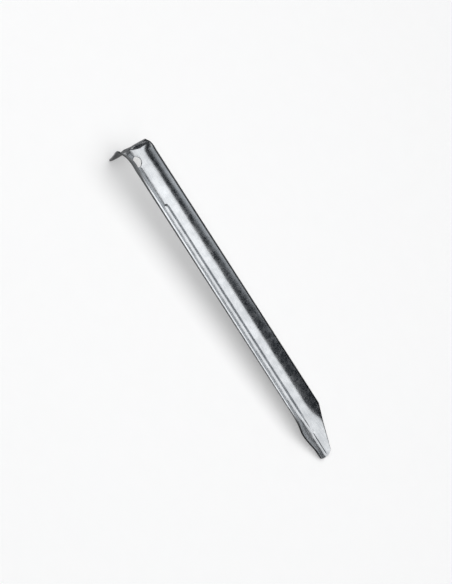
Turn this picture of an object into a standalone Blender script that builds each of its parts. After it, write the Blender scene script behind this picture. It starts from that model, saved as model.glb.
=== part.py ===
"""Pressed sheet-steel tent stake, lying on its hook and its tip with the open side up.

One half-round channel of galvanised sheet, one physical piece. The head end is folded back over
the outside as a guy-line hook, a round hole sits just under the fold, a pressed groove stiffens
the middle of the channel down to the point, and both walls are cut away at a slant to a blunt
rounded tip.

The stake is worked out in its own axes first:
  across   from the left wall to the right wall, seen from the open side with the head up
  height   above the bottom of the channel, towards the open side
  down     distance below the top of the head, towards the tip
and is then laid down with the tip towards +X and the open side up.
"""

import math

import bmesh
import bpy
from mathutils import Matrix, Vector

# Driving dimensions, in metres.
LENGTH = 0.3050
SHEET = 0.0013
HALF_WIDTH = 0.0198
HEAD_WALL_ANGLE = math.radians(84)
FOOT_WALL_ANGLE = math.radians(70)

HEAD_END = 0.0165
HOLE_DOWN = 0.0128
HOLE_OFF_MIDDLE = -0.0008
HOLE_DIAMETER = 0.0090

GROOVE_START = 0.0545
GROOVE_DEPTH = 0.0014
GROOVE_HALF_WIDTH = 0.0036
GROOVE_FLOOR_SHARE = 0.5
GROOVE_RUN_IN = 0.0045

TAPER_LENGTH = 0.0410
TIP_HALF_WIDTH = 0.0079
TIP_ROUNDING_LEFT = 0.0031
TIP_ROUNDING_RIGHT = 0.0053
TIP_FLAT = 0.0010

# Where the press has opened the walls a little, and closed them again nearer the tip: the share
# by which the wall's radius grows, the distance from the tip and the reach either way.
TIP_OPENINGS = ((0.16, 0.0270, 0.0120), (-0.19, 0.0095, 0.0085))

# The head, from the plain channel over the fold to the end of the hook, as stations in
# millimetres: the bottom of the channel (height, down), then each rim (across, height, down).
HEAD_STATIONS = (
    ((0.0, 9.9), (13.5, 12.1, 10.6), (13.5, 12.1, 11.6)),
    ((0.0, 5.8), (14.7, 11.6, 5.4), (14.1, 11.8, 8.5)),
    ((0.0, 3.3), (16.0, 10.7, 1.7), (15.6, 9.6, 5.5)),
    ((-0.5, 1.3), (17.4, 8.7, -2.4), (16.2, 7.1, 3.5)),
    ((-1.9, 0.6), (17.7, 6.6, -4.5), (16.5, 4.4, 1.4)),
    ((-3.8, 0.6), (16.9, 2.6, -4.6), (16.0, 0.8, 2.2)),
    ((-7.5, 1.2), (14.9, -3.6, -2.9), (14.6, -3.4, 2.4)),
    ((-12.5, 1.8), (12.6, -10.6, -1.3), (12.4, -10.6, 1.7)),
    ((-17.0, 2.0), (10.7, -15.4, -0.4), (10.6, -15.4, 1.1)),
    ((-19.0, 2.1), (9.9, -18.2, 0.2), (9.8, -18.2, 0.9)),
    ((-19.8, 2.1), (7.8, -19.8, 0.8), (7.7, -19.8, 1.2)),
)
STEPS_PER_STATION = 3
SHAFT_ROWS = 7
TAPER_ROWS = 9
ROUNDING_ROWS = 5
GROOVE_COLUMNS = (0.28, GROOVE_FLOOR_SHARE, 0.66, 0.83, 1.0)
WALL_COLUMNS = 7

STEEL_COLOUR = (0.52, 0.54, 0.56, 1.0)
MM = 0.001


def clear_scene():
    for old in list(bpy.data.objects):
        bpy.data.objects.remove(old, do_unlink=True)


def steel_material():
    steel = bpy.data.materials.new("galvanised_steel")
    steel.use_nodes = True
    shader = steel.node_tree.nodes["Principled BSDF"]
    shader.inputs["Base Color"].default_value = STEEL_COLOUR
    shader.inputs["Metallic"].default_value = 0.9
    shader.inputs["Roughness"].default_value = 0.38
    return steel


def smooth_step(t):
    t = min(1.0, max(0.0, t))
    return t * t * (3.0 - 2.0 * t)


def wall_angle(down):
    """How far a full-width wall curls up: it opens a little to the foot, and more at the tip."""
    t = (down - HEAD_END) / (LENGTH - HEAD_END)
    opened = 1.0
    for share, from_tip, reach in TIP_OPENINGS:
        away = min(1.0, abs(LENGTH - down - from_tip) / reach)
        opened += share * (1.0 - away * away) ** 2
    return (HEAD_WALL_ANGLE + (FOOT_WALL_ANGLE - HEAD_WALL_ANGLE) * t) / opened


def half_width(down, rounding):
    """Half the width of the flat sheet: full along the shaft, cut away towards the tip."""
    from_tip = LENGTH - down
    if from_tip >= TAPER_LENGTH:
        return HALF_WIDTH
    if from_tip >= rounding:
        t = (from_tip - rounding) / (TAPER_LENGTH - rounding)
        return TIP_HALF_WIDTH + (HALF_WIDTH - TIP_HALF_WIDTH) * t
    t = 1.0 - from_tip / rounding
    return TIP_FLAT + (TIP_HALF_WIDTH - TIP_FLAT) * math.sqrt(max(0.0, 1.0 - t * t))


def groove_share(along, down):
    """How deep the pressed groove is at a distance from the middle of the sheet, from 0 to 1."""
    run_in = smooth_step((down - GROOVE_START) / GROOVE_RUN_IN)
    side_width = (1.0 - GROOVE_FLOOR_SHARE) * GROOVE_HALF_WIDTH
    return run_in * smooth_step((GROOVE_HALF_WIDTH - abs(along)) / side_width)


def columns(width):
    """Distances from the middle of the sheet to one rim, closer together over the groove."""
    inner = min(GROOVE_HALF_WIDTH, 0.45 * width)
    over_groove = [inner * c for c in GROOVE_COLUMNS]
    return over_groove + [inner + (width - inner) * (i + 1) / WALL_COLUMNS for i in range(WALL_COLUMNS)]


def shaft_row(down):
    """One row of points across the channel, (across, height, down)."""
    radius = HALF_WIDTH / wall_angle(down)
    left = columns(half_width(down, TIP_ROUNDING_LEFT))
    right = columns(half_width(down, TIP_ROUNDING_RIGHT))
    row = []
    for along in [-c for c in reversed(left)] + [0.0] + right:
        angle = along / radius
        wall = radius * (1.0 - math.cos(angle))
        height = wall - (wall + GROOVE_DEPTH) * groove_share(along, down)
        row.append(Vector((radius * math.sin(angle), height, down)))
    return row


def spline(points, t):
    """Catmull-Rom curve through tuples of numbers; t runs from 0 to len(points) - 1."""
    last = len(points) - 1
    k = min(int(t), last - 1)
    f = t - k
    p0, p1, p2, p3 = (points[min(max(k + j, 0), last)] for j in (-1, 0, 1, 2))
    return tuple(
        0.5 * (2 * b + (c - a) * f + (2 * a - 5 * b + 4 * c - d) * f * f + (3 * b - 3 * c + d - a) * f ** 3)
        for a, b, c, d in zip(p0, p1, p2, p3)
    )


def flank(bottom, rim, t):
    """A point on the arc that leaves the bottom of the channel level and ends at the rim."""
    chord = rim - bottom
    rise = Vector((0.0, chord.y, chord.z)).length
    across = abs(chord.x)
    half_angle = math.atan2(rise, across)
    lever = chord.length / (2.0 * math.cos(half_angle))
    corner = bottom + Vector((math.copysign(lever, chord.x), 0.0, 0.0))
    weight = math.cos(half_angle)
    a, b, c = (1 - t) ** 2, 2 * weight * t * (1 - t), t * t
    return (a * bottom + b * corner + c * rim) / (a + b + c)


def head_stations():
    """The stations as three lists of points in metres, led in from the plain channel."""
    bottoms, lefts, rights = [], [], []
    for down in (HEAD_END + 4.0 * MM, HEAD_END):
        rim = shaft_row(down)[-1]
        bottoms.append((0.0, 0.0, down))
        lefts.append((-rim.x, rim.y, down))
        rights.append((rim.x, rim.y, down))
    for (height, down), left, right in HEAD_STATIONS:
        bottoms.append((0.0, height * MM, down * MM))
        lefts.append((-left[0] * MM, left[1] * MM, left[2] * MM))
        rights.append(tuple(value * MM for value in right))
    return bottoms, lefts, rights


def head_rows():
    """Rows across the head, from the end of the hook to the start of the plain channel."""
    bottoms, lefts, rights = head_stations()
    shares = [c / HALF_WIDTH for c in columns(HALF_WIDTH)]
    shares = [-s for s in reversed(shares)] + [0.0] + shares
    steps = (len(bottoms) - 2) * STEPS_PER_STATION
    rows = []
    for i in range(steps, 0, -1):
        t = 1.0 + i / STEPS_PER_STATION
        bottom = Vector(spline(bottoms, t))
        left = Vector(spline(lefts, t))
        right = Vector(spline(rights, t))
        rows.append([flank(bottom, right if s > 0 else left, abs(s)) for s in shares])
    return rows


def shaft_rows():
    groove_in = [GROOVE_START + GROOVE_RUN_IN * k / 4 for k in range(5)]
    taper_start = LENGTH - TAPER_LENGTH
    spacing = (taper_start - groove_in[-1]) / SHAFT_ROWS
    downs = [HEAD_END, 0.5 * (HEAD_END + GROOVE_START)] + groove_in
    downs += [groove_in[-1] + spacing * (k + 1) for k in range(SHAFT_ROWS)]
    taper = (TAPER_LENGTH - TIP_ROUNDING_RIGHT) / TAPER_ROWS
    downs += [taper_start + taper * (k + 1) for k in range(TAPER_ROWS)]
    for k in range(ROUNDING_ROWS):
        turn = 0.5 * math.pi * (k + 1) / ROUNDING_ROWS
        downs.append(LENGTH - TIP_ROUNDING_RIGHT * (1.0 - math.sin(turn)))
    return [shaft_row(down) for down in downs]


def sheet_solid(rows, thickness):
    """A closed sheet of the given thickness around a grid of points."""
    last_row, last_column = len(rows) - 1, len(rows[0]) - 1
    mesh = bmesh.new()
    sides = []
    for side in (0.5, -0.5):
        grid = []
        for i, row in enumerate(rows):
            line = []
            for j, point in enumerate(row):
                along = rows[min(i + 1, last_row)][j] - rows[max(i - 1, 0)][j]
                across = row[min(j + 1, last_column)] - row[max(j - 1, 0)]
                normal = along.cross(across).normalized()
                line.append(mesh.verts.new(point + normal * thickness * side))
            grid.append(line)
        sides.append(grid)
    top, bottom = sides
    for i in range(last_row):
        for j in range(last_column):
            mesh.faces.new((top[i][j], top[i + 1][j], top[i + 1][j + 1], top[i][j + 1]))
            mesh.faces.new((bottom[i][j], bottom[i][j + 1], bottom[i + 1][j + 1], bottom[i + 1][j]))
    rim = [(i, 0) for i in range(last_row)] + [(last_row, j) for j in range(last_column)]
    rim += [(i, last_column) for i in range(last_row, 0, -1)] + [(0, j) for j in range(last_column, 0, -1)]
    for (i, j), (k, m) in zip(rim, rim[1:] + rim[:1]):
        mesh.faces.new((top[i][j], bottom[i][j], bottom[k][m], top[k][m]))
    bmesh.ops.recalc_face_normals(mesh, faces=mesh.faces)
    data = bpy.data.meshes.new("stake")
    mesh.to_mesh(data)
    mesh.free()
    return data


def resting_transform(points):
    """Stake axes to world axes, tipped so that the hook and the tip touch the floor together."""
    upright = Matrix(((0, 0, 1), (1, 0, 0), (0, 1, 0))).to_4x4()
    laid = [upright @ p for p in points]
    middle = 0.5 * LENGTH
    low, high = 0.0, math.radians(12)
    for _ in range(50):
        tilt = 0.5 * (low + high)
        turn = Matrix.Rotation(tilt, 4, "Y")
        turned = [turn @ p for p in laid]
        hook = min(p.z for p in turned if p.x < middle)
        tip = min(p.z for p in turned if p.x >= middle)
        if hook < tip:
            low = tilt
        else:
            high = tilt
    xs, ys, zs = ([p[k] for p in turned] for k in range(3))
    centre = Vector((-0.5 * (min(xs) + max(xs)), -0.5 * (min(ys) + max(ys)), -min(zs)))
    return Matrix.Translation(centre) @ turn @ upright


def hole_cutter(place):
    """A round punch through the bottom of the channel, square to it, just under the fold."""
    cutter_mesh = bpy.data.meshes.new("hole_cutter")
    middle = Matrix.Translation((HOLE_OFF_MIDDLE, 0.0, HOLE_DOWN))
    punch = bmesh.new()
    bmesh.ops.create_cone(
        punch,
        cap_ends=True,
        segments=28,
        radius1=HOLE_DIAMETER / 2,
        radius2=HOLE_DIAMETER / 2,
        depth=8 * SHEET,
        matrix=middle @ Matrix.Rotation(math.radians(90), 4, "X"),
    )
    punch.to_mesh(cutter_mesh)
    punch.free()
    cutter_mesh.transform(place)
    cutter = bpy.data.objects.new("hole_cutter", cutter_mesh)
    bpy.context.scene.collection.objects.link(cutter)
    cutter.hide_render = True
    cutter.display_type = "WIRE"
    return cutter


def build():
    clear_scene()
    rows = head_rows() + shaft_rows()
    data = sheet_solid(rows, SHEET)
    place = resting_transform([v.co.copy() for v in data.vertices])
    data.transform(place)
    data.shade_smooth()
    data.set_sharp_from_angle(angle=math.radians(40))
    data.materials.append(steel_material())
    stake = bpy.data.objects.new("stake", data)
    bpy.context.scene.collection.objects.link(stake)
    punch = stake.modifiers.new("hole", "BOOLEAN")
    punch.operation = "DIFFERENCE"
    punch.solver = "EXACT"
    punch.object = hole_cutter(place)


build()
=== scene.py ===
"""Looks of a pressed, galvanised sheet-steel tent stake lying on a pale floor.

The frame is one CAD solid. A finer mesh of the same sheet stands for it, worked out from the
same driving dimensions, with rounded shear edges, the rolled-in rim of the punched hole, the
crease beside the fold, a deeper groove, the marks of the press and a mottled zinc coat.

The stake's own axes are across (left wall to right wall), height (out of the open side) and
down (from the top of the head to the tip), as in the CAD model. Lengths are in metres unless a
comment says otherwise.
"""

import math

import bmesh
import bpy
from mathutils import Matrix, Vector, noise


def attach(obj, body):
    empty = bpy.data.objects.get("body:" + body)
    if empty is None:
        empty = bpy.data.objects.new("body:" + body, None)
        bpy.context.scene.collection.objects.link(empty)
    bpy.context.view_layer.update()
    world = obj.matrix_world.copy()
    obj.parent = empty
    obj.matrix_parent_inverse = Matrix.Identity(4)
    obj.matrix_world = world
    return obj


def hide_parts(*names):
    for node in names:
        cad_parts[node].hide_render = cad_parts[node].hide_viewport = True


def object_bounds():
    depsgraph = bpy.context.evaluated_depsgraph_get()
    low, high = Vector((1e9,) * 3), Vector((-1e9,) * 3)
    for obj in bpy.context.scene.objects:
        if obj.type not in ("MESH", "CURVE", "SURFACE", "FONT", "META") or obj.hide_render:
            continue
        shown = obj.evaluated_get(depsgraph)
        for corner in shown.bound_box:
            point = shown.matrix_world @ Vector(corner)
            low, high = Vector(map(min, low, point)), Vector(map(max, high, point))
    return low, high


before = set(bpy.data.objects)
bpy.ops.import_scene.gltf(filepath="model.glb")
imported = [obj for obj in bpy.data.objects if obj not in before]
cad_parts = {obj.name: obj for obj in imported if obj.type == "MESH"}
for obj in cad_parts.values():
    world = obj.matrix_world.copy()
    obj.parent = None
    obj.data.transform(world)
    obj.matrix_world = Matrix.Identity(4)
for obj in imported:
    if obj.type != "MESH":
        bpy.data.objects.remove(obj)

CAD_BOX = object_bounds()
MM = 0.001

# ------------------------------------------------------------------ the CAD model's dimensions

LENGTH = 0.3050
SHEET = 0.0013
HALF_WIDTH = 0.0198
HEAD_WALL_ANGLE = math.radians(84)
FOOT_WALL_ANGLE = math.radians(70)

HEAD_END = 0.0165
HOLE_DOWN = 0.0128
HOLE_OFF_MIDDLE = -0.0008
GROOVE_START = 0.0545

TAPER_LENGTH = 0.0410
TIP_HALF_WIDTH = 0.0079
TIP_ROUNDING_LEFT = 0.0031
TIP_ROUNDING_RIGHT = 0.0053
TIP_FLAT = 0.0010

# How the walls open and close again near the tip: (share, distance from the tip, reach).
TIP_OPENINGS = ((0.16, 0.0270, 0.0120), (-0.19, 0.0095, 0.0085))

# Rows across the head, in millimetres, from the channel to the hook's end: (height, down) of the
# bottom, then (across, height, down) of the left rim and of the right rim, both counted outwards.
HEAD_STATIONS = (
    ((0.0, 9.9), (13.5, 12.1, 10.6), (13.5, 12.1, 11.6)),
    ((0.0, 5.8), (14.7, 11.6, 5.4), (14.1, 11.8, 8.5)),
    ((0.0, 3.3), (16.0, 10.7, 1.7), (15.6, 9.6, 5.5)),
    ((-0.5, 1.3), (17.4, 8.7, -2.4), (16.2, 7.1, 3.5)),
    ((-1.9, 0.6), (17.7, 6.6, -4.5), (16.5, 4.4, 1.4)),
    ((-3.8, 0.6), (16.9, 2.6, -4.6), (16.0, 0.8, 2.2)),
    ((-7.5, 1.2), (14.9, -3.6, -2.9), (14.6, -3.4, 2.4)),
    ((-12.5, 1.8), (12.6, -10.6, -1.3), (12.4, -10.6, 1.7)),
    ((-17.0, 2.0), (10.7, -15.4, -0.4), (10.6, -15.4, 1.1)),
    ((-19.0, 2.1), (9.9, -18.2, 0.2), (9.8, -18.2, 0.9)),
    ((-19.8, 2.1), (7.8, -19.8, 0.8), (7.7, -19.8, 1.2)),
)

# ------------------------------------------------------------------ the grid of the finer mesh

STEPS_PER_STATION = 8
HEAD_LEAD_IN = 4 * MM
ROW_SPACING = 0.0016
FINE_ROW_SPACING = 0.0006
GROOVE_START_ROW_SPACING = 0.0003
ROUNDING_ROWS = 16

# The columns over the groove reach this many of its half widths out, or this share of the sheet.
GROOVE_COLUMNS = 18
GROOVE_COLUMNS_REACH = 1.15
GROOVE_COLUMNS_MOST = 0.45
WALL_COLUMNS = 30

# The hook's rows and the columns along the right rim take darker zinc: painted shade.
HOOK_ROWS = 7 * STEPS_PER_STATION
RIGHT_RIM_SHADE_COLUMNS = 2

# ------------------------------------------------------------------ finish of the pressed sheet

# The bottom's bend: its width to each side, how much tighter it gets from the head's end to the
# taper, and the share of that way at which it is as tight as the CAD model's at the head's end.
BOTTOM_BEND_WIDTH = 0.0111
BOTTOM_BEND_CHANGE = 0.09
BOTTOM_BEND_EVEN_AT = 0.3

# How far the wall as a whole opens on the same way.
WALL_OPENING = math.radians(26)

# The shaft keeps its own shape up to this distance from the tip, and loses it over the run.
SHAFT_SHAPE_END = 0.028
SHAFT_SHAPE_RUN = 0.020

# The left wall is sheared lower than the right one, from the head's end on.
LEFT_TRIM = 0.0013
LEFT_TRIM_RUN = 0.015

# The shear's rounding of the cut edges, and the most of the grid's spacing that it may take.
EDGE_ROUNDING_OPEN_SIDE = 0.00025
EDGE_ROUNDING_BACK = 0.00050
EDGE_STEPS = 3
EDGE_MOST = 0.4
SHARP_ANGLE = math.radians(50)

# The punched hole, and the rim that the punch rolled in; its dimple stays in the channel's floor.
HOLE_DIAMETER = 0.0093
HOLE_SIDES = 96
PUNCH_LENGTH = 8 * SHEET
HOLE_DIMPLE_DEPTH = 0.00025
HOLE_DIMPLE_REACH = 0.0013
HOLE_FLOOR_ACROSS = 12 * MM
HOLE_FLOOR_HEIGHT = 5 * MM

# The groove: deeper and a little wider than the CAD model's, and left of the middle. The shares
# are of its half width, of its depth, and of its half width again where it fades out.
GROOVE_OFF_MIDDLE = -0.0007
GROOVE_DEPTH = 0.0021
GROOVE_HALF_WIDTH = 0.0038
GROOVE_FLANK_SHARE = 0.36
GROOVE_FLOOR_CROWN = 0.20
GROOVE_FADED_WIDTH = 0.75
GROOVE_SHOULDER = 0.0003

# The crease beside the fold: a V on the right wall, its point at a share of the wall's width. It
# fades out over shares of that width at both sides, and behind the stake on the way to the hook.
CREASE_POINT_SHARE = 0.40
CREASE_POINT_DOWN = 0.0058
CREASE_LEFT_RISE = 0.0060
CREASE_RIGHT_RISE = 0.0030
CREASE_RISE_SHARE = 0.6
CREASE_SLOPE = 0.62
CREASE_SOFTNESS = 0.0004
CREASE_REACH = 6 * MM
CREASE_INNER_FADING = 0.20
CREASE_OUTER_FADING = 0.30
CREASE_BEHIND_END = 10 * MM
CREASE_BEHIND_RUN = 7 * MM

# Dents of the press and of use: (across, down, how far in, reach), all in millimetres.
DENTS = (
    (2.6, 282.0, 0.30, 1.3),
    (3.2, 280.8, 0.22, 0.9),
    (9.3, 256.9, 0.16, 0.9),
    (6.2, 261.5, 0.14, 0.8),
    (5.3, 267.8, 0.14, 0.8),
    (5.8, 293.7, 0.20, 0.8),
    (1.2, 54.2, -0.16, 1.8),
    (7.5, 20.5, 0.10, 1.0),
    (6.4, 34.0, 0.10, 0.9),
)

# How much of the groove's depth is left at distances from the tip, in millimetres.
GROOVE_FADING = ((0.0, 0.30), (4.0, 0.42), (20.0, 0.48), (25.0, 0.30), (34.0, 0.50), (46.0, 1.0))

# A faint line across the tip where the press tool ended: down, how far in, reach. It starts this
# far right of the middle.
CROSS_LINE = (0.2840, 0.00006, 0.0009)
CROSS_LINE_START = 2.5 * MM

# The sheet's slight waviness, with finer waves that many times closer together.
WAVE_DEPTH = 0.000012
WAVE_LENGTH = 0.009
FINE_WAVES = 2.3
FINE_WAVE_SHARE = 0.5

# The search for the tilt at which the hook and the tip both touch the floor.
MOST_TILT = math.radians(12)
TILT_HALVINGS = 30

# ------------------------------------------------------------------ the zinc's look

# Noises of the zinc coat: (scale, detail, roughness). The streaks are drawn out along the stake.
BLOTCH = (140, 2, 0.5)
MOTTLE = (520, 4, 0.6)
GRAIN = (2200, 2, 0.5)
STREAK = (1500, 3, 0.6)
STREAK_DRAW = 0.08

DARK_BLOTCH = (0.45, 0.465, 0.48)
LIGHT_BLOTCH = (0.565, 0.58, 0.595)
SPECK = (0.39, 0.42, 0.45)
LIGHT_STREAK = (0.66, 0.68, 0.70)

RELIEF_STRENGTH = 0.09
RELIEF_DISTANCE = 0.00008

# Where the painted shade near the head fades out and that near the tip fades in, along world X.
PAINTED_SHADE_HEAD_RUN = (-0.136, -0.100)
PAINTED_SHADE_TIP_RUN = (0.098, 0.118)

# The stake's materials: (name, shade, what is left of it near the head, and near the tip); these
# paint light and shade.
ZINCS = (
    # Painted shade: the open side is darker near the head and the tip.
    ("zinc_open_side", 1.0, 0.85, 0.92),
    # Painted shade: the back, and the hook with it, are darker than the open side.
    ("zinc_back", 0.38, 1.0, 1.0),
    # Painted highlight along the left rim's cut edge, painted shade at both its ends.
    ("zinc_left_edge", 1.2, 0.17, 0.12),
    # Painted shade on the other cut edges and the strip along the right rim.
    ("zinc_cut_edge", 0.14, 1.0, 1.0),
)
OPEN_SIDE, BACK, LEFT_EDGE, CUT_EDGE = range(len(ZINCS))

# ------------------------------------------------------------------ the view and the studio

# Camera: turned about the stake's axis towards its left wall, set back towards its head, rolled.
VIEW_ROUND = math.radians(40)
VIEW_TO_HEAD = math.radians(7.7)
VIEW_ROLL = math.radians(57.4)
VIEW_DISTANCE = 3.7
SENSOR_MM = 24.0
LENS_MM = 183.83
FRAME_SHIFT_RIGHT = -0.00188
FRAME_SHIFT_UP = 0.00935

FLOOR_REACH = 4.0
PAPER_DARK = (0.60, 0.60, 0.60, 1)
PAPER_LIGHT = (0.62, 0.62, 0.62, 1)
PAPER_GLOW = 0.34

OVERHEAD_TURN = math.radians(2.5)
HEAD_LIGHT_LEAN = -0.42
RIGHT_LIGHT_RISE = math.radians(20)
STUDIO_DARK = (0.013, 0.017, 0.022, 1)


def smooth_step(t):
    t = min(1.0, max(0.0, t))
    return t * t * (3.0 - 2.0 * t)


def bump(distance, reach):
    """1 at no distance, falling smoothly to 0 at the reach."""
    away = min(1.0, abs(distance) / reach)
    return (1.0 - away * away) ** 2


# ------------------------------------------------------------------ the sheet

def wall_angle(down):
    """How far a full-width wall curls up: it opens a little to the foot, and more at the tip."""
    t = (down - HEAD_END) / (LENGTH - HEAD_END)
    opened = 1.0
    for share, from_tip, reach in TIP_OPENINGS:
        opened += share * bump(LENGTH - down - from_tip, reach)
    return (HEAD_WALL_ANGLE + (FOOT_WALL_ANGLE - HEAD_WALL_ANGLE) * t) / opened


def half_width(down, rounding):
    """Half the width of the flat sheet: full along the shaft, cut away towards the tip."""
    from_tip = LENGTH - down
    if from_tip >= TAPER_LENGTH:
        return HALF_WIDTH
    if from_tip >= rounding:
        t = (from_tip - rounding) / (TAPER_LENGTH - rounding)
        return TIP_HALF_WIDTH + (HALF_WIDTH - TIP_HALF_WIDTH) * t
    t = 1.0 - from_tip / rounding
    return TIP_FLAT + (TIP_HALF_WIDTH - TIP_FLAT) * math.sqrt(max(0.0, 1.0 - t * t))


def fading(table, place):
    """The value at a place in a table of (place, value), level beyond both ends."""
    for (near, first), (far, second) in zip(table, table[1:]):
        if place < far:
            return first + (second - first) * smooth_step((place - near) / (far - near))
    return table[-1][1]


def groove_share(along, down):
    """How deep the pressed groove is at a distance from the middle of the sheet, from 0 to 1."""
    away = math.hypot(along, max(0.0, GROOVE_START + GROOVE_HALF_WIDTH - down))
    left = fading(GROOVE_FADING, (LENGTH - down) / MM)
    width = GROOVE_HALF_WIDTH * (GROOVE_FADED_WIDTH + (1.0 - GROOVE_FADED_WIDTH) * left)
    out = away / width
    flank_share = smooth_step((1.0 - out) / GROOVE_FLANK_SHARE)
    return left * flank_share * (1.0 - GROOVE_FLOOR_CROWN * min(1.0, out) ** 2)


def groove_drop(point, side):
    """How far the groove takes a point of the plain channel back; side is 1 in front, -1 behind."""
    reach = abs(point.x - GROOVE_OFF_MIDDLE) + GROOVE_SHOULDER * side
    return (point.y + GROOVE_DEPTH) * groove_share(reach, point.z)


def columns(width):
    """Distances from the middle of the sheet to one rim, closer together over the groove."""
    inner = min(GROOVE_COLUMNS_REACH * GROOVE_HALF_WIDTH, GROOVE_COLUMNS_MOST * width)
    over_groove = [inner * (i + 1) / GROOVE_COLUMNS for i in range(GROOVE_COLUMNS)]
    outside = [inner + (width - inner) * (i + 1) / WALL_COLUMNS for i in range(WALL_COLUMNS)]
    return over_groove + outside


def shaft_share(down):
    """1 along the shaft, falling to 0 where the tip has become narrow."""
    return smooth_step((LENGTH - SHAFT_SHAPE_END - down) / SHAFT_SHAPE_RUN)


def wall_turn(along, down):
    """The angle the sheet has turned through at a distance from its middle.

    The bottom keeps nearly one bend radius all along the shaft, and the upper wall opens.
    """
    plain = wall_angle(down) / HALF_WIDTH
    lowest = LENGTH - TAPER_LENGTH
    t = (down - HEAD_END) / (lowest - HEAD_END)
    bend = HEAD_WALL_ANGLE / HALF_WIDTH * (1.0 + BOTTOM_BEND_CHANGE * (t - BOTTOM_BEND_EVEN_AT))
    opened = HEAD_WALL_ANGLE - WALL_OPENING * t
    inner = min(along, BOTTOM_BEND_WIDTH)
    rest = (opened - bend * BOTTOM_BEND_WIDTH) / (HALF_WIDTH - BOTTOM_BEND_WIDTH)
    turned = bend * inner + rest * (along - inner)
    return plain * along + (turned - plain * along) * shaft_share(down)


def shaft_row(down):
    """One row of points across the channel, (across, height, down)."""
    sides = []
    left_trim = LEFT_TRIM * shaft_share(down) * smooth_step((down - HEAD_END) / LEFT_TRIM_RUN)
    for sign, rounding, trim in ((-1, TIP_ROUNDING_LEFT, left_trim), (1, TIP_ROUNDING_RIGHT, 0.0)):
        side = []
        across, wall, before = 0.0, 0.0, 0.0
        for along in columns(half_width(down, rounding) - trim):
            angle = wall_turn(0.5 * (along + before), down)
            across += (along - before) * math.cos(angle)
            wall += (along - before) * math.sin(angle)
            before = along
            side.append(Vector((sign * across, wall, down)))
        sides.append(side)
    left, right = sides
    return left[::-1] + [Vector((0.0, 0.0, down))] + right


def spline(points, t):
    """Catmull-Rom curve through tuples of numbers; t runs from 0 to len(points) - 1."""
    last = len(points) - 1
    k = min(int(t), last - 1)
    f = t - k
    p0, p1, p2, p3 = (points[min(max(k + j, 0), last)] for j in (-1, 0, 1, 2))
    return tuple(
        0.5 * (
            2 * b + (c - a) * f
            + (2 * a - 5 * b + 4 * c - d) * f * f
            + (3 * b - 3 * c + d - a) * f ** 3
        )
        for a, b, c, d in zip(p0, p1, p2, p3)
    )


def flank(bottom, rim, t):
    """A point on the arc that leaves the bottom of the channel level and ends at the rim."""
    chord = rim - bottom
    rise = Vector((0.0, chord.y, chord.z)).length
    half_angle = math.atan2(rise, abs(chord.x))
    lever = chord.length / (2.0 * math.cos(half_angle))
    corner = bottom + Vector((math.copysign(lever, chord.x), 0.0, 0.0))
    weight = math.cos(half_angle)
    a, b, c = (1 - t) ** 2, 2 * weight * t * (1 - t), t * t
    return (a * bottom + b * corner + c * rim) / (a + b + c)


def head_stations():
    """The stations as three lists of points in metres, led in from the plain channel."""
    bottoms, lefts, rights = [], [], []
    for down in (HEAD_END + HEAD_LEAD_IN, HEAD_END):
        rim = shaft_row(down)[-1]
        bottoms.append((0.0, 0.0, down))
        lefts.append((-rim.x, rim.y, down))
        rights.append((rim.x, rim.y, down))
    for (height, down), left, right in HEAD_STATIONS:
        bottoms.append((0.0, height * MM, down * MM))
        lefts.append((-left[0] * MM, left[1] * MM, left[2] * MM))
        rights.append(tuple(value * MM for value in right))
    return bottoms, lefts, rights


def crease_drop(point, share):
    """How far the crease beside the fold takes the right wall back."""
    if share <= 0:
        return 0.0
    past = share - CREASE_POINT_SHARE
    rise = CREASE_RIGHT_RISE if past > 0 else -CREASE_LEFT_RISE
    inside = CREASE_POINT_DOWN - rise * past / CREASE_RISE_SHARE - point.z
    inside = 0.5 * (inside + math.hypot(inside, CREASE_SOFTNESS))
    depth = CREASE_SLOPE * min(inside, CREASE_REACH)
    across = smooth_step(share / CREASE_INNER_FADING)
    across *= smooth_step((1.0 - share) / CREASE_OUTER_FADING)
    return depth * across * smooth_step((point.y + CREASE_BEHIND_END) / CREASE_BEHIND_RUN)


def head_rows():
    """Rows across the head, from the end of the hook to the start of the plain channel."""
    bottoms, lefts, rights = head_stations()
    shares = [c / HALF_WIDTH for c in columns(HALF_WIDTH)]
    shares = [-s for s in reversed(shares)] + [0.0] + shares
    steps = (len(bottoms) - 2) * STEPS_PER_STATION
    rows = []
    for i in range(steps, 0, -1):
        t = 1.0 + i / STEPS_PER_STATION
        bottom = Vector(spline(bottoms, t))
        left = Vector(spline(lefts, t))
        right = Vector(spline(rights, t))
        row = [flank(bottom, right if s > 0 else left, abs(s)) for s in shares]
        rows.append([p - Vector((0.0, crease_drop(p, s), 0.0)) for p, s in zip(row, shares)])
    return rows


def steps_between(start, end, spacing):
    """Even steps after the start, up to and with the end."""
    count = max(1, round((end - start) / spacing))
    return [start + (end - start) * (k + 1) / count for k in range(count)]


def shaft_rows():
    """Rows across the shaft and the tip, closer together where the shape changes quickly."""
    groove_rounded = GROOVE_START + GROOVE_HALF_WIDTH
    downs = [HEAD_END]
    downs += steps_between(HEAD_END, GROOVE_START, ROW_SPACING)
    downs += steps_between(GROOVE_START, groove_rounded, GROOVE_START_ROW_SPACING)
    downs += steps_between(downs[-1], LENGTH - TAPER_LENGTH, ROW_SPACING)
    downs += steps_between(downs[-1], LENGTH - TIP_ROUNDING_RIGHT, FINE_ROW_SPACING)
    for k in range(ROUNDING_ROWS):
        turn = 0.5 * math.pi * (k + 1) / ROUNDING_ROWS
        downs.append(LENGTH - TIP_ROUNDING_RIGHT * (1.0 - math.sin(turn)))
    return [shaft_row(down) for down in downs]


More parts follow.
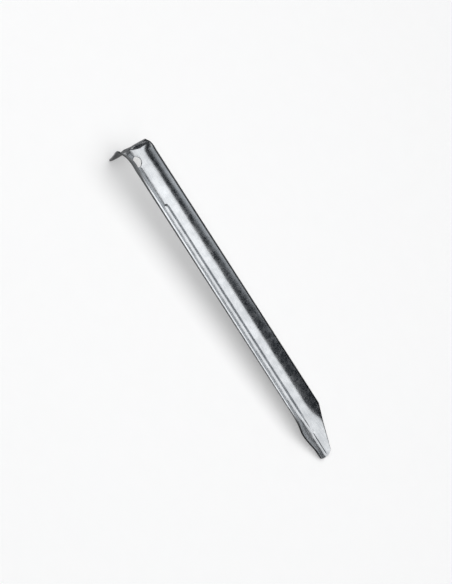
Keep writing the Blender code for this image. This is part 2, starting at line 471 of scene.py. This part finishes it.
def normals_of(rows):
    """The direction out of the open side at each point of the grid."""
    last_row, last_column = len(rows) - 1, len(rows[0]) - 1
    result = []
    for i, row in enumerate(rows):
        line = []
        for j in range(len(row)):
            along = rows[min(i + 1, last_row)][j] - rows[max(i - 1, 0)][j]
            across = row[min(j + 1, last_column)] - row[max(j - 1, 0)]
            line.append(along.cross(across).normalized())
        result.append(line)
    return result


def press_marks(point):
    """How far the sheet stands off its ideal surface at a point, towards the open side."""
    offset = 0.0
    if abs(point.x) < HOLE_FLOOR_ACROSS and point.y < HOLE_FLOOR_HEIGHT:
        from_middle = math.hypot(point.x - HOLE_OFF_MIDDLE, point.z - HOLE_DOWN)
        from_rim = from_middle - 0.5 * HOLE_DIAMETER
        offset -= HOLE_DIMPLE_DEPTH * bump(max(0.0, from_rim), HOLE_DIMPLE_REACH)
    for across, down, depth, reach in DENTS:
        away = math.hypot(point.x - across * MM, point.z - down * MM)
        offset -= depth * MM * bump(away, reach * MM)
    if point.x > CROSS_LINE_START:
        down, depth, reach = CROSS_LINE
        offset -= depth * bump(point.z - down, reach)
    fine_wave = noise.noise(point * FINE_WAVES / WAVE_LENGTH)
    wave = noise.noise(point / WAVE_LENGTH) + FINE_WAVE_SHARE * fine_wave
    return offset + WAVE_DEPTH * wave


def boundary(last_row, last_column):
    """Grid places round the sheet's edge, as (row, column)."""
    rim = [(i, 0) for i in range(last_row)]
    rim += [(last_row, j) for j in range(last_column)]
    rim += [(i, last_column) for i in range(last_row, 0, -1)]
    rim += [(0, j) for j in range(last_column, 0, -1)]
    return rim


def edge_directions(rows, normals, rim):
    """The direction out of the sheet, in its own plane, at each place round its edge."""
    result = []
    for k, (i, j) in enumerate(rim):
        before = rows[rim[k - 1][0]][rim[k - 1][1]]
        after_place = rim[(k + 1) % len(rim)]
        after = rows[after_place[0]][after_place[1]]
        result.append((after - before).cross(normals[i][j]).normalized())
    return result


def sheet_mesh(rows):
    """A closed sheet around a grid of points, its cut edges rounded as by a shear.

    The hook has the back's material on both sides, and the columns along the right rim have that of
    the cut edges; both are painted shade.
    """
    last_row, last_column = len(rows) - 1, len(rows[0]) - 1
    normals = normals_of(rows)
    marks = [[press_marks(point) for point in row] for row in rows]
    rim = boundary(last_row, last_column)
    outward = dict(zip(rim, edge_directions(rows, normals, rim)))
    mesh = bmesh.new()

    def vertex(i, j, off_middle, inset):
        """A vertex off the middle of the sheet, moved in from the rim if it is on the rim."""
        point = rows[i][j]
        place = point + normals[i][j] * (off_middle + marks[i][j])
        if (i, j) in outward:
            inner = rows[min(max(i, 1), last_row - 1)][min(max(j, 1), last_column - 1)]
            place -= outward[(i, j)] * min(inset, EDGE_MOST * (inner - point).length)
        place.y -= groove_drop(point, 2.0 * off_middle / SHEET)
        return mesh.verts.new(place)

    roundings = ((1, EDGE_ROUNDING_OPEN_SIDE), (-1, EDGE_ROUNDING_BACK))
    top, back = (
        [
            [vertex(i, j, 0.5 * SHEET * side, rounding) for j in range(len(row))]
            for i, row in enumerate(rows)
        ]
        for side, rounding in roundings
    )
    for i in range(last_row):
        for j in range(last_column):
            face = mesh.faces.new((top[i][j], top[i + 1][j], top[i + 1][j + 1], top[i][j + 1]))
            # Painted shade: the hook and a strip along the right rim take darker materials.
            if i < HOOK_ROWS:
                face.material_index = BACK
            elif j >= last_column - RIGHT_RIM_SHADE_COLUMNS:
                face.material_index = CUT_EDGE
            else:
                face.material_index = OPEN_SIDE
            face = mesh.faces.new((back[i][j], back[i][j + 1], back[i + 1][j + 1], back[i + 1][j]))
            face.material_index = BACK
    loops = [[top[i][j] for i, j in rim]]
    for side, rounding in roundings:
        turns = range(1, EDGE_STEPS + 1) if side > 0 else range(EDGE_STEPS, 0, -1)
        for step in turns:
            turn = 0.5 * math.pi * step / EDGE_STEPS
            inset = rounding * (1.0 - math.sin(turn))
            off_middle = side * (0.5 * SHEET - rounding * (1.0 - math.cos(turn)))
            loops.append([vertex(i, j, off_middle, inset) for i, j in rim])
    loops.append([back[i][j] for i, j in rim])
    for near, far in zip(loops, loops[1:]):
        for k in range(len(rim)):
            after = (k + 1) % len(rim)
            face = mesh.faces.new((near[k], far[k], far[after], near[after]))
            # Painted highlight along the left rim's cut edge, painted shade at its ends and on the
            # other cut edges.
            on_left = rim[k][1] == 0 and rim[after][1] == 0
            face.material_index = LEFT_EDGE if on_left else CUT_EDGE
    bmesh.ops.recalc_face_normals(mesh, faces=mesh.faces)
    data = bpy.data.meshes.new("zinc_coated_stake")
    mesh.to_mesh(data)
    mesh.free()
    return data


def resting_transform(points):
    """Stake axes to world axes, tipped so that the hook and the tip touch the floor together."""
    upright = Matrix(((0, 0, 1), (1, 0, 0), (0, 1, 0))).to_4x4()
    laid = [upright @ p for p in points]
    middle = 0.5 * LENGTH
    low, high = 0.0, MOST_TILT
    for _ in range(TILT_HALVINGS):
        tilt = 0.5 * (low + high)
        turn = Matrix.Rotation(tilt, 4, "Y")
        turned = [turn @ p for p in laid]
        hook = min(p.z for p in turned if p.x < middle)
        tip = min(p.z for p in turned if p.x >= middle)
        if hook < tip:
            low = tilt
        else:
            high = tilt
    xs, ys, zs = ([p[k] for p in turned] for k in range(3))
    lowest, highest = CAD_BOX
    to_middle = Vector((
        0.5 * (lowest[0] + highest[0] - min(xs) - max(xs)),
        0.5 * (lowest[1] + highest[1] - min(ys) - max(ys)),
        lowest[2] - min(zs),
    ))
    return Matrix.Translation(to_middle) @ turn @ upright


def punch_hole(stake, place):
    """Cuts the round hole, square to the channel, just under the fold."""
    middle = Matrix.Translation((HOLE_OFF_MIDDLE, 0.0, HOLE_DOWN))
    punch = bmesh.new()
    bmesh.ops.create_cone(
        punch,
        cap_ends=True,
        segments=HOLE_SIDES,
        radius1=HOLE_DIAMETER / 2,
        radius2=HOLE_DIAMETER / 2,
        depth=PUNCH_LENGTH,
        matrix=middle @ Matrix.Rotation(math.radians(90), 4, "X"),
    )
    data = bpy.data.meshes.new("punch")
    punch.to_mesh(data)
    punch.free()
    data.transform(place)
    cutter = bpy.data.objects.new("punch", data)
    bpy.context.scene.collection.objects.link(cutter)
    cut = stake.modifiers.new("hole", "BOOLEAN")
    cut.operation = "DIFFERENCE"
    cut.solver = "EXACT"
    cut.object = cutter
    evaluated = stake.evaluated_get(bpy.context.evaluated_depsgraph_get())
    cut_mesh = bpy.data.meshes.new_from_object(evaluated)
    stake.modifiers.clear()
    stake.data = cut_mesh
    bpy.data.objects.remove(cutter, do_unlink=True)


# ------------------------------------------------------------------ the zinc coat

class Nodes:
    """A short way to add nodes to a material and join them."""

    def __init__(self, material):
        material.use_nodes = True
        self.tree = material.node_tree
        self.shader = self.tree.nodes["Principled BSDF"]

    def add(self, kind, **settings):
        """A new node of a kind, with its settings."""
        node = self.tree.nodes.new(kind)
        for name, value in settings.items():
            setattr(node, name, value)
        return node

    def join(self, source, target):
        self.tree.links.new(source, target)

    def noise(self, coordinates, scale, detail, roughness):
        """Fractal noise around 0.5."""
        node = self.add("ShaderNodeTexNoise")
        self.join(coordinates, node.inputs["Vector"])
        node.inputs["Scale"].default_value = scale
        node.inputs["Detail"].default_value = detail
        node.inputs["Roughness"].default_value = roughness
        return node.outputs["Fac"]

    def spread(self, value, low, high, to_low, to_high):
        """The value's range from low to high, made into another range by a smooth step."""
        node = self.add("ShaderNodeMapRange", interpolation_type="SMOOTHSTEP")
        self.join(value, node.inputs["Value"])
        node.inputs["From Min"].default_value = low
        node.inputs["From Max"].default_value = high
        node.inputs["To Min"].default_value = to_low
        node.inputs["To Max"].default_value = to_high
        return node.outputs["Result"]

    def math(self, operation, a, b):
        node = self.add("ShaderNodeMath", operation=operation)
        for socket, value in zip(node.inputs, (a, b)):
            if isinstance(value, (int, float)):
                socket.default_value = value
            else:
                self.join(value, socket)
        return node.outputs["Value"]

    def mix(self, factor, first, second):
        """A blend of two colours; sockets 6 and 7 are the colours, output 2 is the result."""
        node = self.add("ShaderNodeMix", data_type="RGBA")
        sockets = [node.inputs["Factor"], node.inputs[6], node.inputs[7]]
        for socket, value in zip(sockets, (factor, first, second)):
            if isinstance(value, (int, float, tuple)):
                socket.default_value = value
            else:
                self.join(value, socket)
        return node.outputs[2]


def zinc_material(name, shade, head, tip):
    """Hot-dip zinc: grey-blue, blotched and grainy; shade is how bright it is.

    Shade paints light or shade; head and tip are how much brightness is left there: painted shade.
    """
    zinc = bpy.data.materials.new(name)
    nodes = Nodes(zinc)
    place = nodes.add("ShaderNodeTexCoord").outputs["Object"]
    drawn = nodes.add("ShaderNodeMapping")
    nodes.join(place, drawn.inputs["Vector"])
    drawn.inputs["Scale"].default_value = (STREAK_DRAW, 1.0, 1.0)
    drawn = drawn.outputs["Vector"]

    blotch = nodes.noise(place, *BLOTCH)
    mottle = nodes.noise(place, *MOTTLE)
    grain = nodes.noise(place, *GRAIN)
    streak = nodes.noise(drawn, *STREAK)

    def shaded(colour):
        return tuple(value * shade for value in colour) + (1,)

    blotches = nodes.spread(blotch, 0.35, 0.68, 0.0, 1.0)
    specks = nodes.spread(mottle, 0.34, 0.56, 0.35, 0.0)
    streaks = nodes.spread(streak, 0.42, 0.68, 0.0, 0.35)
    tone = nodes.mix(blotches, shaded(DARK_BLOTCH), shaded(LIGHT_BLOTCH))
    tone = nodes.mix(specks, tone, shaded(SPECK))
    tone = nodes.mix(streaks, tone, shaded(LIGHT_STREAK))
    # Painted shade: darker towards the head and the tip.
    if head < 1.0 or tip < 1.0:
        axes = nodes.add("ShaderNodeSeparateXYZ")
        nodes.join(place, axes.inputs["Vector"])
        by_head = nodes.spread(axes.outputs["X"], *PAINTED_SHADE_HEAD_RUN, head, 1.0)
        by_tip = nodes.spread(axes.outputs["X"], *PAINTED_SHADE_TIP_RUN, 1.0, tip)
        tone = nodes.mix(nodes.math("MULTIPLY", by_head, by_tip), (0, 0, 0, 1), tone)
    nodes.join(tone, nodes.shader.inputs["Base Color"])
    nodes.shader.inputs["Metallic"].default_value = 1.0
    # The specular tint takes the shade too, so the painted shade and highlight reach the
    # reflections.
    nodes.shader.inputs["Specular Tint"].default_value = shaded((1.0, 1.0, 1.0))

    fine_roughness = nodes.spread(mottle, 0.3, 0.7, 0.20, 0.27)
    broad_roughness = nodes.spread(blotch, 0.3, 0.7, 0.0, 0.06)
    rough = nodes.math("ADD", fine_roughness, broad_roughness)
    nodes.join(rough, nodes.shader.inputs["Roughness"])

    half_mottle = nodes.math("MULTIPLY", mottle, 0.5)
    half_grain = nodes.math("MULTIPLY", grain, 0.5)
    relief = nodes.add("ShaderNodeBump")
    relief.inputs["Strength"].default_value = RELIEF_STRENGTH
    relief.inputs["Distance"].default_value = RELIEF_DISTANCE
    nodes.join(nodes.math("ADD", half_mottle, half_grain), relief.inputs["Height"])
    nodes.join(relief.outputs["Normal"], nodes.shader.inputs["Normal"])
    return zinc


def make_stake():
    """Makes the stake and returns the transform from its own axes to the world's."""
    data = sheet_mesh(head_rows() + shaft_rows())
    place = resting_transform([v.co.copy() for v in data.vertices])
    data.transform(place)
    for zinc in ZINCS:
        data.materials.append(zinc_material(*zinc))
    stake = bpy.data.objects.new("stake_sheet", data)
    bpy.context.scene.collection.objects.link(stake)
    punch_hole(stake, place)
    stake.data.shade_smooth()
    stake.data.set_sharp_from_angle(angle=SHARP_ANGLE)
    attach(stake, "root")
    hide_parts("stake")
    return place


# ------------------------------------------------------------------ camera, floor and light

def make_camera(place):
    """Looks at the stake's middle from in front of its open side, a little from its left."""
    turn = place.to_3x3()
    across, opening, down = turn.col[0], turn.col[1], turn.col[2]
    towards = opening * math.cos(VIEW_ROUND) - across * math.sin(VIEW_ROUND)
    along = down * math.cos(VIEW_TO_HEAD) + towards * math.sin(VIEW_TO_HEAD)
    side = across * math.cos(VIEW_ROUND) + opening * math.sin(VIEW_ROUND)
    right = along * math.cos(VIEW_ROLL) + side * math.sin(VIEW_ROLL)
    up = side * math.cos(VIEW_ROLL) - along * math.sin(VIEW_ROLL)
    back = right.cross(up)
    middle = place @ Vector((0.0, 0.0, 0.5 * LENGTH))
    aim = middle + right * FRAME_SHIFT_RIGHT + up * FRAME_SHIFT_UP
    data = bpy.data.cameras.new("camera")
    data.sensor_width = SENSOR_MM
    data.lens = LENS_MM
    camera = bpy.data.objects.new("camera", data)
    facing = Matrix((right, up, back)).transposed().to_4x4()
    camera.matrix_world = Matrix.Translation(aim + back * VIEW_DISTANCE) @ facing
    bpy.context.scene.collection.objects.link(camera)
    bpy.context.scene.camera = camera


def make_floor():
    """A wide sheet of pale paper; its faint glow stands for a backdrop lit to white."""
    reach = FLOOR_REACH
    corners = [(-reach, -reach, 0), (reach, -reach, 0), (reach, reach, 0), (-reach, reach, 0)]
    mesh = bpy.data.meshes.new("floor")
    mesh.from_pydata(corners, [], [(0, 1, 2, 3)])
    floor = bpy.data.objects.new("floor", mesh)
    bpy.context.scene.collection.objects.link(floor)
    paper = bpy.data.materials.new("paper")
    nodes = Nodes(paper)
    place = nodes.add("ShaderNodeTexCoord").outputs["Object"]
    tone = nodes.mix(nodes.noise(place, 60, 3, 0.5), PAPER_DARK, PAPER_LIGHT)
    nodes.join(tone, nodes.shader.inputs["Base Color"])
    nodes.shader.inputs["Roughness"].default_value = 0.9
    nodes.shader.inputs["Specular IOR Level"].default_value = 0.2
    nodes.shader.inputs["Emission Color"].default_value = (1.0, 1.0, 1.0, 1)
    nodes.shader.inputs["Emission Strength"].default_value = PAPER_GLOW
    mesh.materials.append(paper)


def softbox(name, direction, distance, size, power):
    """A rectangular light that faces the stake; size is (along the stake, the other way)."""
    data = bpy.data.lights.new(name, "AREA")
    data.shape = "RECTANGLE"
    data.size, data.size_y = size
    data.energy = power
    light = bpy.data.objects.new(name, data)
    direction = Vector(direction).normalized()
    side = Vector((1, 0, 0)) if abs(direction.x) < 0.5 else Vector((0, 1, 0))
    side = (side - direction * side.dot(direction)).normalized()
    facing = Matrix((side, direction.cross(side), direction)).transposed().to_4x4()
    light.matrix_world = Matrix.Translation(direction * distance) @ facing
    bpy.context.scene.collection.objects.link(light)


def make_light():
    """A wide light overhead, a weaker one over the head and a low strip to the right."""
    aside, above = -math.sin(OVERHEAD_TURN), math.cos(OVERHEAD_TURN)
    softbox("overhead", (0, aside, above), distance=1.3, size=(3.4, 2.58), power=38)
    over_head = (HEAD_LIGHT_LEAN, aside, above)
    softbox("overhead_head", over_head, distance=1.35, size=(1.7, 2.44), power=5)
    from_right = (0, math.cos(RIGHT_LIGHT_RISE), math.sin(RIGHT_LIGHT_RISE))
    softbox("right_side", from_right, distance=1.6, size=(3.0, 0.8), power=1.3)
    world = bpy.data.worlds.new("studio")
    world.use_nodes = True
    world.node_tree.nodes["Background"].inputs["Color"].default_value = STUDIO_DARK
    bpy.context.scene.world = world
    bpy.context.scene.view_settings.view_transform = "Standard"


place = make_stake()
make_camera(place)
make_floor()
make_light()
